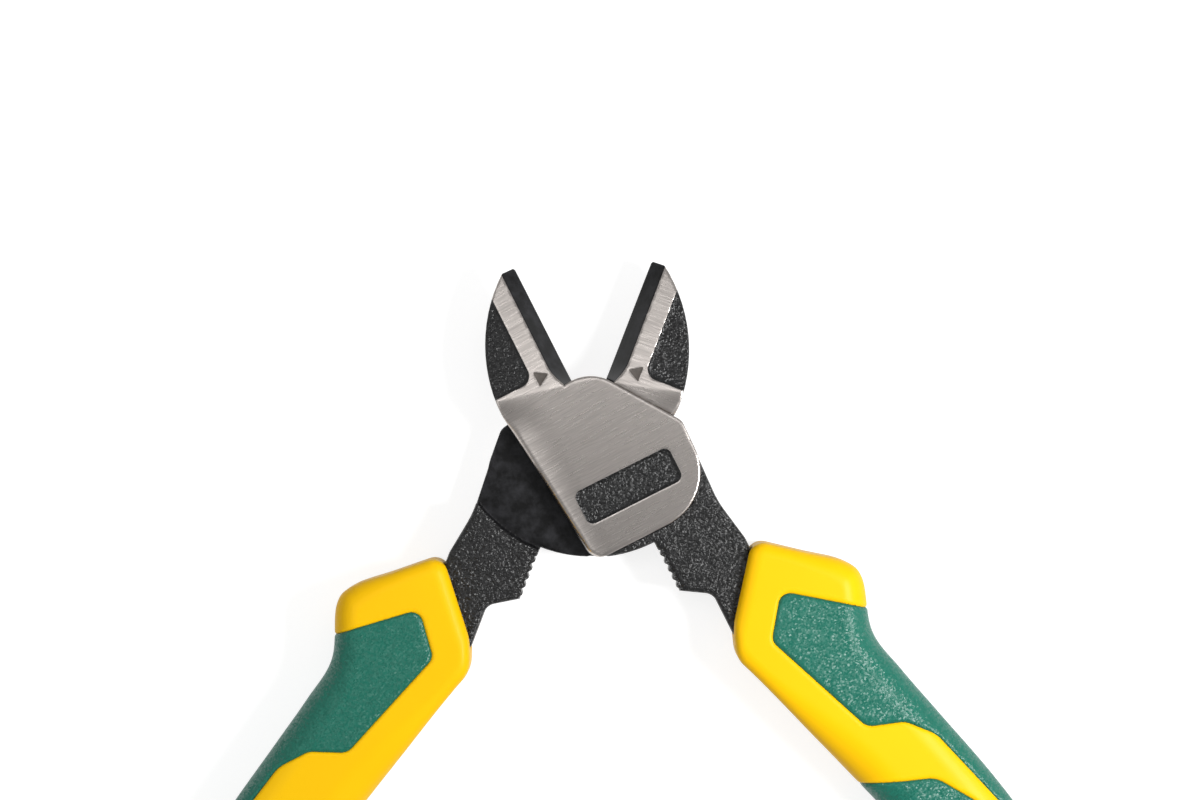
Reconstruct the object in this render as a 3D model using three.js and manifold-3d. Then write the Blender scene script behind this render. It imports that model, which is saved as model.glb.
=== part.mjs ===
// Side cutters (diagonal cutting pliers), lying open on their back.
// Two equal forged levers cross in a lap joint and turn on one pin. Each lever ends in a tang
// inside a hard grip sleeve, and each sleeve carries two softer pads sunk into it.
// Millimetres, +Z up. +Y runs from the pivot to the jaw tips, +X to the right, and the pivot
// axis is the Z axis. z = 0 is the flat back face of the head.
import * as THREE from 'three';
import { mergeVertices } from 'three/addons/utils/BufferGeometryUtils.js';
import Module from 'manifold-3d';

// Opening, in degrees between the two cutting edges as the tool lies
const OPENING_ANGLE = 47.7;

// Head, seen with the tool closed: cutting edge on the Y axis, jaw at -X, arm at +X
const HEAD_THICKNESS = 11.2;
const PLATE_RAISE = 1.0;
const JAW_REACH = 32.2;
const JAW_WIDTH = 14.9;
const JAW_SHOULDER = 8.0;
const TIP_WIDTH = 2.8;
const TIP_THICKNESS = 5.2;
const BEVEL_WIDTH = 2.9;
const BEND_START = 7.5;
const BEND_RISE = 3.5;
const HUB_RADIUS = 8.0;
const LAP_RADIUS = 26.6;
const FOOT_WIDTH = 11.8;
const FOOT_ROUND = 3.0;
const SIDE_WIDTH = 15.3;
const SEAM_DROP = 8.2;
const SEAM_ANGLE = 37.7;
const SEAM_ROUND = 2.5;
const PLATE_FOOT = 24.7;
const PLATE_SIDE = 14.9;
const PLATE_ROUND = 11.0;

// Dark step along the back of each jaw, and the sunk panel on the joint plate
const STEP_INSET = 6.9;
const STEP_START = 11.4;
const STEP_ROUND = 2.0;
const STEP_DEPTH = 0.35;
const PANEL_LENGTH = 19.6;
const PANEL_HEIGHT = 6.4;
const PANEL_X = 0.6;
const PANEL_DROP = 14.8;
const PANEL_ROUND = 1.2;
const PANEL_DEPTH = 0.35;

// Arm, with its row of pipe-gripping teeth on the inner side
const ARM_WAIST = 14.5;
const ARM_WAIST_DROP = 25.0;
const ARM_WAIST_ROUND = 20.0;
const ARM_OUTER = 16.0;
const ARM_OUTER_DROP = 33.5;
const ARM_INNER = 5.7;
const ARM_INNER_DROP = 40.4;
const ARM_INNER_ROUND = 2.5;
const ARM_END_DROP = 49.4;
const ARM_END_SLANT = 5.5;
const TOOTH_COUNT = 5;
const TOOTH_PITCH = 1.7;
const TOOTH_DEPTH = 0.6;
const TOOTH_LAND = 0.2;
const TEETH_START = 28.4;

// Pivot pin, pressed into the back lever, its head flush in the back face
const PIN_RADIUS = 4.0;
const PIN_HEAD_RADIUS = 5.4;
const PIN_HEAD_CONE = 1.4;
const PIN_COVER = 1.6;

// Grip. Places on it are hundredths of its length: from the closed tool's middle line, and up or
// down from the mouth's inner corner. A section runs from its inner end to its outer end.
const GRIP_LENGTH = 100.0;
const MOUTH_DROP = 50.0;
const GRIP_THICKNESS = 15.4;
const GRIP_SQUARENESS = 4.2;
const MOUTH_RIM = 0.5;
const GRIP_INNER_SIDE = [
  [4.4, 0], [4.3, -2.2], [4.7, -4.6], [5.7, -7.4], [7.7, -13.5], [10.3, -22], [13.4, -32],
  [17.6, -46], [20.8, -60], [22.2, -74], [22.2, -87], [24.4, -96.5], [29.2, -100.4],
];
const GRIP_OUTER_SIDE = [
  [17, 15.6], [24.6, 9.2], [30.9, 3.9], [32.5, -0.7], [29.7, -10.5], [31.4, -19.5], [34.2, -30.5],
  [38, -45.5], [40.2, -58.5], [40.6, -72.5], [39.4, -86], [36.8, -95.2], [31.8, -100.2],
];
const GRIP_END_THICKNESS = 6.0;
const END_ROUND_SECTIONS = 2;

// Tang, midway between the grip's sides, from one section to another
const TANG_WIDTH = 8.0;
const TANG_THICKNESS = 6.0;
const TANG_FIRST_SECTION = 0.6;
const TANG_LAST_SECTION = 7.5;
const TANG_STEPS = 8;

// Pads, as corners [x, y, radius] on the grip; the far corners lie outside it
const PAD_DEPTH = 1.3;
const UPPER_PAD = [
  [44, -16], [17.4, 4.5, 2.2], [11.6, -3.2, 2.2], [20.4, -25.8, 3], [27.4, -28.2, 4], [31.8, -33, 6],
  [36.8, -49.8, 20], [41.5, -67], [50, -67], [50, -16],
];
const LOWER_PAD = [
  [4, -31.6], [4, -93], [12, -93], [32, -87.5, 4], [35.8, -78, 10], [36.2, -61, 12], [32.8, -48, 8],
  [27.7, -40.3, 5],
];

// Clearances
const EDGE_GAP = 0.1;
const ARM_GAP = 0.3;
const LAP_GAP = 0.3;
const RUNNING_GAP = 0.3;
const PIN_GAP = 0.1;
const TANG_GAP = 0.3;
const PAD_GAP = 0.3;

// How finely round stretches are faceted, and how far a cutter reaches past what it cuts
const ARC_STEP = Math.PI / 14;
const ROUND_SIDES = 48;
const SECTION_SIDES = 20;
const SECTIONS_PER_SPAN = 2;
const BEVEL_STEPS = 4;
const PAST = 2;
const FAR = 80;

const half = HEAD_THICKNESS / 2;
const armHalf = half - PLATE_RAISE;
const edgeX = -EDGE_GAP / 2;
const innerX = ARM_GAP / 2;
const opening = THREE.MathUtils.degToRad(OPENING_ANGLE);
const pivot = new THREE.Vector2();

const wasm = await Module();
wasm.setup();

// Solids

function solid(geometry) {
  geometry.deleteAttribute('normal');
  geometry.deleteAttribute('uv');
  const merged = mergeVertices(geometry);
  const vertProperties = new Float32Array(merged.attributes.position.array);
  const triVerts = new Uint32Array(merged.index.array);
  return new wasm.Manifold(new wasm.Mesh({ numProp: 3, vertProperties, triVerts }));
}

function geometryOf(body) {
  const mesh = body.getMesh();
  const geometry = new THREE.BufferGeometry();
  geometry.setAttribute('position', new THREE.BufferAttribute(mesh.vertProperties, mesh.numProp));
  geometry.setIndex(new THREE.BufferAttribute(mesh.triVerts, 1));
  geometry.computeVertexNormals();
  return geometry;
}

// A straight prism over a plan outline, from one height to another
function prism(outline, bottom, top) {
  const options = { depth: top - bottom, bevelEnabled: false };
  const geometry = new THREE.ExtrudeGeometry(new THREE.Shape(outline), options);
  return solid(geometry.translate(0, 0, bottom));
}

// A closed skin over convex rings of equal length, which run anticlockwise seen from the last ring
function loft(rings) {
  const count = rings[0].length;
  const last = (rings.length - 1) * count;
  const indices = [];
  for (let start = 0; start < last; start += count) {
    for (let side = 0; side < count; side++) {
      const here = start + side;
      const next = start + (side + 1) % count;
      indices.push(here, next, next + count, here, next + count, here + count);
    }
  }
  for (let side = 1; side + 1 < count; side++) {
    indices.push(0, side + 1, side, last, last + side, last + side + 1);
  }
  const geometry = new THREE.BufferGeometry().setFromPoints(rings.flat());
  geometry.setIndex(indices);
  return solid(geometry);
}

// Plan outlines

function arc(centre, radius, from, to) {
  const steps = Math.max(1, Math.ceil(Math.abs(to - from) / ARC_STEP));
  const points = [];
  for (let step = 0; step <= steps; step++) {
    const angle = from + (to - from) * step / steps;
    points.push(new THREE.Vector2(Math.cos(angle), Math.sin(angle)).multiplyScalar(radius).add(centre));
  }
  return points;
}

// An outline from corners [x, y, radius]: a corner with a radius becomes an arc
function rounded(corners) {
  const count = corners.length;
  return corners.flatMap(([x, y, radius], index) => {
    const corner = new THREE.Vector2(x, y);
    if (!radius) {
      return [corner];
    }
    const [beforeX, beforeY] = corners[(index + count - 1) % count];
    const [afterX, afterY] = corners[(index + 1) % count];
    const back = new THREE.Vector2(beforeX - x, beforeY - y).normalize();
    const on = new THREE.Vector2(afterX - x, afterY - y).normalize();
    const halfAngle = Math.acos(back.dot(on)) / 2;
    const setback = radius / Math.tan(halfAngle);
    const middle = back.clone().add(on).normalize();
    const centre = corner.clone().addScaledVector(middle, radius / Math.sin(halfAngle));
    const start = corner.clone().addScaledVector(back, setback).sub(centre).angle();
    const end = corner.clone().addScaledVector(on, setback).sub(centre).angle();
    const turn = Math.atan2(Math.sin(end - start), Math.cos(end - start));
    return arc(centre, radius, start, start + turn);
  });
}

// An anticlockwise outline with every side moved outwards by one distance
function grown(outline, distance) {
  const count = outline.length;
  return outline.map((point, index) => {
    const sideIn = point.clone().sub(outline[(index + count - 1) % count]).normalize();
    const sideOut = outline[(index + 1) % count].clone().sub(point).normalize();
    const normalIn = new THREE.Vector2(sideIn.y, -sideIn.x);
    const mitre = new THREE.Vector2(sideOut.y, -sideOut.x).add(normalIn).normalize();
    return point.clone().addScaledVector(mitre, distance / mitre.dot(normalIn));
  });
}

// Lever: outlines

const seamTop = new THREE.Vector2(HUB_RADIUS, 0);
seamTop.rotateAround(pivot, THREE.MathUtils.degToRad(SEAM_ANGLE));

// From the hub up the cutting edge, over the tip and down the jaw's round back to its shoulder
function jawSide() {
  const width = JAW_WIDTH - TIP_WIDTH;
  const height = JAW_REACH - JAW_SHOULDER;
  const radius = (width ** 2 + height ** 2) / (2 * width);
  const sweep = Math.asin(height / radius);
  const back = arc(new THREE.Vector2(radius - JAW_WIDTH, JAW_SHOULDER), radius, Math.PI - sweep, Math.PI);
  return [new THREE.Vector2(edgeX, HUB_RADIUS), new THREE.Vector2(edgeX, JAW_REACH), ...back];
}

// From the seam's upper end round the hub to the cutting edge
function hubSide() {
  return arc(pivot, HUB_RADIUS, seamTop.angle(), Math.PI / 2);
}

// The round corner at the seam's lower end
function seamCorner() {
  const corner = [SIDE_WIDTH, -SEAM_DROP, SEAM_ROUND];
  return rounded([[ARM_WAIST, -ARM_WAIST_DROP], corner, [seamTop.x, seamTop.y]]).slice(1, -1);
}

// The jaw and the raised joint plate, which share one face
function plateOutline() {
  const foot = rounded([
    [-JAW_WIDTH, JAW_SHOULDER], [-FOOT_WIDTH, -PLATE_FOOT, FOOT_ROUND],
    [PLATE_SIDE, -PLATE_FOOT, PLATE_ROUND], [SIDE_WIDTH, -SEAM_DROP],
  ]);
  return [...jawSide(), ...foot.slice(1, -1), ...seamCorner(), ...hubSide()];
}

// The part of the arm that enters the grip
function armCorners() {
  return [
    [ARM_INNER, -ARM_INNER_DROP, ARM_INNER_ROUND], [ARM_INNER, -ARM_END_DROP],
    [ARM_OUTER, ARM_END_SLANT - ARM_END_DROP], [ARM_OUTER, -ARM_OUTER_DROP],
  ];
}

// Jaw, lap and arm
function leverOutline() {
  const footAngle = Math.acos(-FOOT_WIDTH / LAP_RADIUS);
  const footTurn = FOOT_ROUND / LAP_RADIUS;
  const armAngle = Math.acos(innerX / LAP_RADIUS);
  const foot = arc(pivot, LAP_RADIUS, footTurn - footAngle, -armAngle);
  const teethEnd = TEETH_START + TOOTH_COUNT * TOOTH_PITCH;
  const side = rounded([
    [innerX, -LAP_RADIUS], [innerX, -teethEnd], ...armCorners(),
    [ARM_WAIST, -ARM_WAIST_DROP, ARM_WAIST_ROUND], [SIDE_WIDTH, -SEAM_DROP],
  ]);
  const footStart = new THREE.Vector2(-FOOT_WIDTH, FOOT_ROUND - LAP_RADIUS * Math.sin(footAngle));
  return [...jawSide(), footStart, ...foot, ...side.slice(1, -1), ...seamCorner(), ...hubSide()];
}

// Lever: cutters

// Where the other lever's seam edge comes to rest against this jaw, a running gap away
function wallOutline() {
  const top = new THREE.Vector2(-seamTop.x, seamTop.y).rotateAround(pivot, -opening);
  const low = new THREE.Vector2(-SIDE_WIDTH, -SEAM_DROP).rotateAround(pivot, -opening);
  const along = low.clone().sub(top).normalize();
  const up = new THREE.Vector2(along.y, -along.x);
  top.addScaledVector(up, RUNNING_GAP);
  const hub = arc(pivot, HUB_RADIUS + RUNNING_GAP, top.angle(), Math.PI / 2);
  const right = new THREE.Vector2(PAST, HUB_RADIUS + RUNNING_GAP);
  const farLeft = top.clone().addScaledVector(along, FAR);
  return [farLeft, ...hub, right, new THREE.Vector2(PAST, FAR), new THREE.Vector2(farLeft.x, FAR)];
}

// The half-thickness space in which the other lever's lap turns
function lapRecess() {
  const depth = half + PAST + LAP_GAP / 2;
  const radius = LAP_RADIUS + RUNNING_GAP;
  const disc = new THREE.CylinderGeometry(radius, radius, depth, 2 * ROUND_SIDES).rotateX(Math.PI / 2);
  const wall = prism(wallOutline(), -FAR, FAR);
  return solid(disc.translate(0, 0, LAP_GAP / 2 - depth / 2)).subtract(wall);
}

// Unit vector across the bend line, towards the tip, and the fall of the jaw's face along it
const bendAcross = new THREE.Vector2(BEND_RISE, JAW_WIDTH).normalize();
const bendFoot = new THREE.Vector2(0, BEND_START);
const tipAcross = new THREE.Vector2(-TIP_WIDTH / 2, JAW_REACH).sub(bendFoot).dot(bendAcross);
const faceFall = (half - TIP_THICKNESS / 2) / tipAcross;

function faceHeight(x, y) {
  return half - faceFall * Math.max(0, new THREE.Vector2(x, y).sub(bendFoot).dot(bendAcross));
}

// All that lies above the jaw's sloping face, or below it on the back, sunk by a depth
function aboveFace(side, sunk) {
  const ring = (along) => {
    const corner = (across, z) => {
      const x = bendFoot.x + across * bendAcross.x - along * bendAcross.y;
      const y = bendFoot.y + across * bendAcross.y + along * bendAcross.x;
      return new THREE.Vector3(x, y, side * z);
    };
    const near = half - sunk + faceFall * PAST;
    const far = half - sunk - faceFall * JAW_REACH;
    const top = half + PAST;
    return [corner(-PAST, near), corner(JAW_REACH, far), corner(JAW_REACH, top), corner(-PAST, top)];
  };
  return loft(side > 0 ? [ring(FAR), ring(0)] : [ring(0), ring(FAR)]);
}

// What the bevel beside the cutting edge takes away, on one face
function bevelCutter(side) {
  const from = HUB_RADIUS + 2 * RUNNING_GAP;
  const rings = [];
  for (let step = 0; step <= BEVEL_STEPS; step++) {
    const y = from + (JAW_REACH + PAST - from) * step / BEVEL_STEPS;
    const steepness = faceHeight(-BEVEL_WIDTH, y) / BEVEL_WIDTH;
    const left = BEVEL_WIDTH + PAST / 2;
    const corners = [[-left, left * steepness], [0, 0], [PAST, 0], [PAST, left * steepness]];
    rings.push(corners.map(([x, z]) => new THREE.Vector3(x, y, side * z)));
  }
  return loft(side > 0 ? rings.reverse() : rings);
}

// The dark step along the jaw's back, on one face
function stepCutter(side) {
  const outline = rounded([
    [-STEP_INSET, FAR], [-FAR, FAR], [-FAR, STEP_START], [-STEP_INSET, STEP_START, STEP_ROUND],
  ]);
  const column = side > 0 ? prism(outline, 0, half + PAST) : prism(outline, -half - PAST, 0);
  return column.intersect(aboveFace(side, STEP_DEPTH));
}

function panelCutter() {
  const left = PANEL_X - PANEL_LENGTH / 2;
  const right = PANEL_X + PANEL_LENGTH / 2;
  const top = PANEL_HEIGHT / 2 - PANEL_DROP;
  const bottom = -PANEL_HEIGHT / 2 - PANEL_DROP;
  const corners = [[left, bottom], [right, bottom], [right, top], [left, top]];
  const outline = rounded(corners.map(([x, y]) => [x, y, PANEL_ROUND]));
  return prism(outline, half - PANEL_DEPTH, half + PAST);
}

// One notch between two teeth
function toothCutter(index) {
  const middle = -TEETH_START - (index + 0.5) * TOOTH_PITCH;
  const reach = (TOOTH_PITCH - TOOTH_LAND) / 2;
  const root = new THREE.Vector2(innerX + TOOTH_DEPTH, middle);
  const low = new THREE.Vector2(innerX, middle - reach);
  const high = new THREE.Vector2(innerX, middle + reach);
  const outside = [new THREE.Vector2(-PAST, middle + reach), new THREE.Vector2(-PAST, middle - reach)];
  return prism([low, root, high, ...outside], -FAR, FAR);
}

// Pin along Z, head at the back, with every face moved outwards by an allowance
function pinBody(allowance) {
  const back = -half - (allowance ? PAST : 0);
  const end = half - PIN_COVER - PIN_GAP + allowance;
  const profile = [
    [0, back], [PIN_HEAD_RADIUS + allowance, back], [PIN_HEAD_RADIUS + allowance, -half],
    [PIN_RADIUS + allowance, PIN_HEAD_CONE - half], [PIN_RADIUS + allowance, end], [0, end],
  ];
  const points = profile.map(([radius, z]) => new THREE.Vector2(radius, z));
  return solid(new THREE.LatheGeometry(points, ROUND_SIDES).rotateX(Math.PI / 2));
}

// Grip

const gripShare = GRIP_LENGTH / 100;

// A place on the grip in millimetres, with its corner radius if it has one
function onGrip([x, y, radius]) {
  return [x * gripShare, y * gripShare - MOUTH_DROP, radius && radius * gripShare];
}

function gripSide(places) {
  const points = places.map(onGrip).map(([x, y]) => new THREE.Vector2(x, y));
  return new THREE.SplineCurve(points);
}

const innerSide = gripSide(GRIP_INNER_SIDE);
const outerSide = gripSide(GRIP_OUTER_SIDE);
const sectionCount = GRIP_INNER_SIDE.length - 1;

// The section at a place along the grip, counted in sections from the mouth
function section(place) {
  const inner = innerSide.getPoint(place / sectionCount);
  const outer = outerSide.getPoint(place / sectionCount);
  const middle = inner.clone().add(outer).multiplyScalar(0.5);
  return { middle, halfWidth: inner.distanceTo(outer) / 2, across: outer.sub(inner).normalize() };
}

function sectionRing(place, inset) {
  const { middle, halfWidth, across } = section(place);
  const intoEnd = Math.max(0, 1 - (sectionCount - place) / END_ROUND_SECTIONS);
  const fullness = Math.sqrt(1 - intoEnd ** 2);
  const thickness = GRIP_END_THICKNESS + (GRIP_THICKNESS - GRIP_END_THICKNESS) * fullness;
  const power = 2 / GRIP_SQUARENESS;
  const ring = [];
  for (let side = 0; side < SECTION_SIDES; side++) {
    const angle = 2 * Math.PI * side / SECTION_SIDES;
    const u = Math.sign(Math.cos(angle)) * Math.abs(Math.cos(angle)) ** power * (halfWidth - inset);
    const z = Math.sign(Math.sin(angle)) * Math.abs(Math.sin(angle)) ** power * (thickness / 2 - inset);
    ring.push(new THREE.Vector3(middle.x + across.x * u, middle.y + across.y * u, z));
  }
  return ring;
}

// The whole grip with its skin moved in by an inset
function gripBody(inset) {
  const rings = [sectionRing(0, inset + MOUTH_RIM)];
  const rimPlace = MOUTH_RIM / innerSide.getLength() * sectionCount;
  rings.push(sectionRing(rimPlace, inset));
  for (let step = 1; step <= sectionCount * SECTIONS_PER_SPAN; step++) {
    rings.push(sectionRing(step / SECTIONS_PER_SPAN, inset));
  }
  return loft(rings);
}

function tangOutline() {
  const inner = [];
  const outer = [];
  for (let step = 0; step <= TANG_STEPS; step++) {
    const place = TANG_FIRST_SECTION + (TANG_LAST_SECTION - TANG_FIRST_SECTION) * step / TANG_STEPS;
    const { middle, across } = section(place);
    inner.push(middle.clone().addScaledVector(across, -TANG_WIDTH / 2));
    outer.push(middle.clone().addScaledVector(across, TANG_WIDTH / 2));
  }
  return [...inner, ...outer.reverse()];
}

// The tang with every face moved outwards by an allowance
function tangBody(allowance) {
  const height = TANG_THICKNESS / 2 + allowance;
  return prism(grown(tangOutline(), allowance), -height, height);
}

// The room that the lever takes inside the grip
function leverPocket() {
  const height = armHalf + TANG_GAP;
  return prism(grown(rounded(armCorners()), TANG_GAP), -height, height).add(tangBody(TANG_GAP));
}

// Sub-parts

function lever(pin) {
  let body = prism(plateOutline(), -half, half);
  body = body.add(prism(leverOutline(), -armHalf, armHalf)).add(tangBody(0)).subtract(lapRecess());
  for (const side of [1, -1]) {
    body = body.subtract(aboveFace(side, 0)).subtract(stepCutter(side)).subtract(bevelCutter(side));
  }
  for (let index = 0; index < TOOTH_COUNT; index++) {
    body = body.subtract(toothCutter(index));
  }
  return body.subtract(panelCutter()).subtract(pin);
}

function pad(corners) {
  const column = prism(rounded(corners.map(onGrip)), -FAR, FAR);
  return gripBody(0).intersect(column).subtract(gripBody(PAD_DEPTH));
}

function padPocket(corners) {
  const column = prism(grown(rounded(corners.map(onGrip)), PAD_GAP), -FAR, FAR);
  return column.subtract(gripBody(PAD_DEPTH + PAD_GAP));
}

function gripSleeve() {
  const sleeve = gripBody(0).subtract(padPocket(UPPER_PAD)).subtract(padPocket(LOWER_PAD));
  return sleeve.subtract(leverPocket());
}

// Assembly

const forgedSteel = { color: '#8f8b86', roughness: 0.4, metalness: 0.9 };
const groundSteel = { color: '#b4b0aa', roughness: 0.3, metalness: 1.0 };
const yellowPlastic = { color: '#f9c613', roughness: 0.45, metalness: 0.0 };
const greenRubber = { color: '#2a8a6e', roughness: 0.8, metalness: 0.0 };

function subPart(name, body, look) {
  const mesh = new THREE.Mesh(geometryOf(body), new THREE.MeshStandardMaterial(look));
  mesh.name = name;
  return mesh;
}

// One lever with its grip, drawn as the front one
function leverWithGrip(name, pin) {
  const group = new THREE.Group();
  group.add(subPart(`${name}_lever`, lever(pin), forgedSteel));
  group.add(subPart(`${name}_grip_sleeve`, gripSleeve(), yellowPlastic));
  group.add(subPart(`${name}_grip_upper_pad`, pad(UPPER_PAD), greenRubber));
  group.add(subPart(`${name}_grip_lower_pad`, pad(LOWER_PAD), greenRubber));
  return group;
}

const sideCutters = new THREE.Group();
sideCutters.position.z = half;

const front = leverWithGrip('front', pinBody(PIN_GAP));
front.rotation.z = opening / 2;
sideCutters.add(front);

// The back lever is the same forging turned over about the tool's long axis
const back = leverWithGrip('back', pinBody(PIN_GAP).rotate([0, 180, 0]));
back.rotation.set(0, Math.PI, opening / 2);
sideCutters.add(back);

sideCutters.add(subPart('pivot_pin', pinBody(0), groundSteel));

export default sideCutters;
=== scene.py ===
"""Side cutters with ground joint plates, blasted black arms and two-colour moulded grips.

Each lever is drawn closed and lying flat, as its drawing would be: pivot at the origin, cutting edge
along Y, jaw at -X, arm at +X, in millimetres. Its solids are described by signed distances, meshed
once, and then turned open and scaled to metres.
"""
import math

import bpy
import numpy as np
from bpy.props import FloatProperty, FloatVectorProperty, IntProperty, PointerProperty
from mathutils import Matrix, Vector


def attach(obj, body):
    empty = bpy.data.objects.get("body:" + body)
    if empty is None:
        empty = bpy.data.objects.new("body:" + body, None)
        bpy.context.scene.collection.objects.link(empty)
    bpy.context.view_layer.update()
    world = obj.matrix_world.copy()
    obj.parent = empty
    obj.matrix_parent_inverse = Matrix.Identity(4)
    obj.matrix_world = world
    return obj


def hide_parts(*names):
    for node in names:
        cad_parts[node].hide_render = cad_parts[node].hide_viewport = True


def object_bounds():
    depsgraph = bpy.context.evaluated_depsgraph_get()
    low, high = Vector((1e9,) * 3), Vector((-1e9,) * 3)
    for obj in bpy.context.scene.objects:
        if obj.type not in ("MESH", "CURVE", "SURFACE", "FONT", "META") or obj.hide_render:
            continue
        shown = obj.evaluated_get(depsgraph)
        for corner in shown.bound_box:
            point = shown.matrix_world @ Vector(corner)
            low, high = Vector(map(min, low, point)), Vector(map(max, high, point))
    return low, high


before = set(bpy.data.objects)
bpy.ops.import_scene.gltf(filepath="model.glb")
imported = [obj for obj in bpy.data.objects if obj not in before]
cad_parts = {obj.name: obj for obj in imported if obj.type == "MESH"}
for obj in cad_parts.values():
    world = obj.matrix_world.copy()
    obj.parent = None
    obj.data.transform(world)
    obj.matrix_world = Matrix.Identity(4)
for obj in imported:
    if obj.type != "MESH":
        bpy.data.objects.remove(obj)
CAD_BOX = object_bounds()

bl_info = {
    "name": "Side cutters",
    "version": (1, 0, 0),
    "blender": (4, 5, 0),
    "location": "3D View > Sidebar > Side cutters",
    "description": "Builds the levers, teeth, grips and pin of a pair of side cutters",
    "category": "Add Mesh",
}

MM = 0.001

# The drawing of one lever, the same values as the solids have
OPENING = math.radians(47.7)
HALF = 5.6
ARM_HALF = 4.6
JAW_REACH = 32.2
JAW_WIDTH = 14.9
JAW_SHOULDER = 8.0
TIP_WIDTH = 2.8
TIP_HALF = 2.6
EDGE_X = -0.05
BEVEL_WIDTH = 2.9
BEVEL_FOOT = 12.2
BEVEL_NARROWS = 1.25
BEND_START = 7.5
BEND_RISE = 3.5
HUB_RADIUS = 8.0
LAP_RADIUS = 26.6
LAP_FLOOR = 0.15
RUNNING_GAP = 0.3
FOOT_WIDTH = 11.8
FOOT_ROUND = 3.0
SIDE_WIDTH = 15.3
SEAM_DROP = 8.2
SEAM_ANGLE = math.radians(37.7)
SEAM_ROUND = 2.5
PLATE_FOOT = 24.7
PLATE_SIDE = 14.9
PLATE_ROUND = 11.0
STEP_INSET = 6.9
STEP_START = 11.4
STEP_ROUND = 2.0
STEP_DEPTH = 0.35
PANEL_SIZE = (19.6, 6.4)
PANEL_MIDDLE = (0.6, -14.8)
PANEL_ROUND = 1.2
PANEL_DEPTH = 0.35
MARK = ((-5.8, 12.5), (-5.8, 9.9), (-3.65, 11.2))
MARK_DEPTH = 0.15
ARM_WAIST = (14.5, -25.0, 20.0)
ARM_OUTER = (16.0, -33.5)
ARM_END_OUTER = (16.0, -43.9)
ARM_END_INNER = (5.7, -49.4)
ARM_INNER = (5.7, -40.4, 2.5)
INNER_X = 0.15
TEETH_START = 28.4
TOOTH_DEPTH = 0.6
TOOTH_LAND = 0.2
PIN_RADIUS = 4.0
PIN_HEAD_RADIUS = 5.4
PIN_HEAD_CONE = 1.4
PIN_END = 3.9
PIN_GAP = 0.1

GRIP_HALF = 7.7
GRIP_INNER_SIDE = (
    (4.4, -50), (4.3, -52.2), (4.7, -54.6), (5.7, -57.4), (7.7, -63.5), (10.3, -72), (13.4, -82),
    (17.6, -96), (20.8, -110), (22.2, -124), (22.2, -137), (24.4, -146.5), (29.2, -150.4),
)
GRIP_OUTER_SIDE = (
    (17, -34.4), (24.6, -40.8), (30.9, -46.1), (32.5, -50.7), (29.7, -60.5), (31.4, -69.5),
    (34.2, -80.5), (38, -95.5), (40.2, -108.5), (40.6, -122.5), (39.4, -136), (36.8, -145.2),
    (31.8, -150.2),
)
UPPER_PAD = (
    (44, -66), (17.4, -45.5, 2.2), (11.6, -53.2, 2.2), (20.4, -75.8, 3), (27.4, -78.2, 4),
    (31.8, -83, 6), (36.8, -99.8, 20), (41.5, -117), (50, -117), (50, -66),
)
LOWER_PAD = (
    (4, -81.6), (4, -143), (12, -143), (32, -137.5, 4), (35.8, -128, 10), (36.2, -111, 12),
    (32.8, -98, 8), (27.7, -90.3, 5),
)
TANG_HALF_WIDTH = 4.0
TANG_HALF = 3.0
TANG_START_POINT = 5
TANG_END_SECTION = 3
ARM_CLEARANCE = 0.2
PAD_CLEARANCE = 0.1

# What the dressed model adds to the drawing, in millimetres or as shares
SEAM_GAP = 0.01
WALL_WIDTH = 0.28
PLATE_MARGIN = 0.12
GROUND_DEPTH = 0.8
LAP_TOUCH = 0.05
BEVEL_CURVE = 1.6
ROLL_START = 6.5
ROLL_WIDTH = 8.0
ROLL_LIMIT = 1.2
ROLL_FALL = 0.8
ROLL_FADE = 8.0
ROLLED_EDGE_SIDE = 9.0
ROLLED_EDGE_SIDE_BLEND = 3.0
ROLLED_EDGE_TOP = 9.0
ROLLED_EDGE_TOP_BLEND = 6.0
COLLAR_LENGTH = 6.0
COLLAR_BLEND = 26.0
CORNER_HEIGHT = 0.86
TOOTH_REACH = 0.85
TOOTH_BURIED = 0.4
TOOTH_CHAMFER = 0.4
TOOTH_CHAMFER_FOOT = 0.8
TOOTH_END_GAP = 0.2
PIN_CHAMFER = 0.15
PIN_CENTRE = 0.05
PIN_SIDES = 96

# Drawing and meshing. A grid starts half a step off, so that no flat face lies on its planes
ARC_STEP = 0.07
SPAN_POINTS = 8
WALL_REACH = 2.0
SHORT_NOTCH = 1.0
FAR = 80.0
STEPS_BELOW = 1.5
STEPS_ABOVE = 2.0

# The stage, in metres; each lamp has a place, a width and a length
VIEW_CENTRE = (1.94 * MM, 3.33 * MM)
FLOOR_GAP = 0.3 * MM
FLOOR_REACH = 4.0
FLOOR_GLOW = 0.78
OVERHEAD_START = 0.7
OVERHEAD_SHARE = 0.25
LAMPS = {
    "key": ((0.22, -0.04, 0.28), 0.08, 0.08),
    "strip": ((0.0, 0.1, 0.5), 0.3, 0.1),
    "panel": ((-0.24, 0.0, 0.45), 0.34, 0.3),
}


# Plan outlines


def arc(centre, radius, start, end):
    count = max(2, math.ceil(abs(end - start) / ARC_STEP) + 1)
    angles = np.linspace(start, end, count)
    return np.asarray(centre) + radius * np.column_stack((np.cos(angles), np.sin(angles)))


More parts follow.
